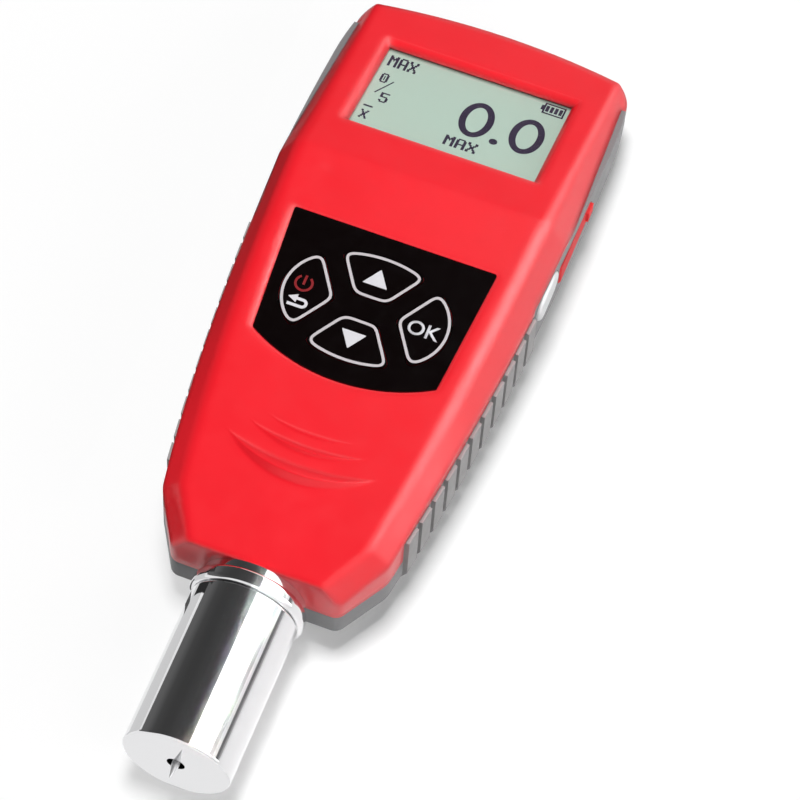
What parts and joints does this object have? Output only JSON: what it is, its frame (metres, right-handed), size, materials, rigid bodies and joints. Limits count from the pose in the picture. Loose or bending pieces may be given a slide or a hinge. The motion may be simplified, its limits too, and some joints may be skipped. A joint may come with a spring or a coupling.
{
  "type": "digital durometer",
  "caption": "Hand-held durometer with a crowned two-part case, sloped display, key pad, ribbed grips and a chromed presser foot whose sprung needle measures indentation hardness.",
  "frame": {"origin": "on the rear rest face, in the middle of the instrument's whole length and width", "axes": "+Y along the probe axis towards the display end, +Z out of the rest face towards the keypad, +X to the side with the push button"},
  "size_m": [0.0515, 0.1488, 0.0244],
  "materials": {
    "red_shell": "moulded, satin gloss",
    "grey_shell": "moulded, fine texture",
    "grip_rubber": "moulded ribs",
    "black_panel": "smooth membrane",
    "clear_window": "clear",
    "lcd_glass": "reflective liquid crystal display",
    "dark_plastic": "moulded",
    "board": "solder mask",
    "chrome": "bright plated",
    "steel": "ground",
    "brass": "machined",
    "copper_coil": "wound and potted",
    "white_plastic": "moulded",
    "red_cover": "moulded",
    "cell_jacket": "printed jacket, plain"
  },
  "bodies": {
    "case": {"front_cover": "red_shell", "rear_cover": "grey_shell", "battery_cells": "cell_jacket", "battery_contacts": "steel", "housing_screws": "steel", "left_grip": "grip_rubber", "right_grip": "grip_rubber", "display_window": "clear_window", "lcd_panel": "lcd_glass", "lcd_holder": "dark_plastic", "keypad_overlay": "black_panel", "main_board": "board", "key_switches": "steel", "board_screws": "steel", "buzzer": "dark_plastic", "side_board": "board", "data_socket": "steel", "side_switch": "dark_plastic", "presser_foot": "chrome", "probe_collar": "chrome", "probe_barrel": "steel", "front_bush": "brass", "rear_bush": "brass", "spring_adjuster": "brass", "sensor_coil": "copper_coil", "barrel_cap": "dark_plastic", "measuring_spring": "steel"},
    "up_key": {"key_up": "black_panel"},
    "down_key": {"key_down": "black_panel"},
    "ok_key": {"key_ok": "black_panel"},
    "power_key": {"key_power": "black_panel"},
    "push_button": {"side_button": "white_plastic"},
    "plunger": {"indenter": "steel", "spindle": "steel", "sensor_core": "steel"},
    "door": {"battery_door": "grey_shell"},
    "port_flap": {"port_cover": "red_cover"}
  },
  "joints": [
    {"name": "key_power_press", "type": "slide", "parent": "case", "child": "power_key", "axis": [0, 0.0488, -0.9988], "range_m": [0, 0.0004], "stiffness_N_per_m": 2000},
    {"name": "key_up_press", "type": "slide", "parent": "case", "child": "up_key", "axis": [0, 0.0488, -0.9988], "range_m": [0, 0.0004], "stiffness_N_per_m": 2000},
    {"name": "key_down_press", "type": "slide", "parent": "case", "child": "down_key", "axis": [0, 0.0488, -0.9988], "range_m": [0, 0.0004], "stiffness_N_per_m": 2000},
    {"name": "key_ok_press", "type": "slide", "parent": "case", "child": "ok_key", "axis": [0, 0.0488, -0.9988], "range_m": [0, 0.0004], "stiffness_N_per_m": 2000},
    {"name": "side_button_press", "type": "slide", "parent": "case", "child": "push_button", "axis": [-1, 0, 0], "range_m": [0, 0.0008], "stiffness_N_per_m": 1500},
    {"name": "plunger_slide", "type": "slide", "parent": "case", "child": "plunger", "axis": [0, 1, 0], "range_m": [0, 0.0025], "stiffness_N_per_m": 17780, "deforming": ["measuring_spring"]},
    {"name": "battery_door_slide", "type": "slide", "parent": "case", "child": "door", "axis": [0, 1, 0], "range_m": [0, 0.012]},
    {"name": "port_cover_hinge", "type": "hinge", "parent": "case", "child": "port_flap", "pos_m": [0.02482, 0.03373, 0.012], "axis": [0, 0, -1], "range_deg": [0, 100]}
  ]
}
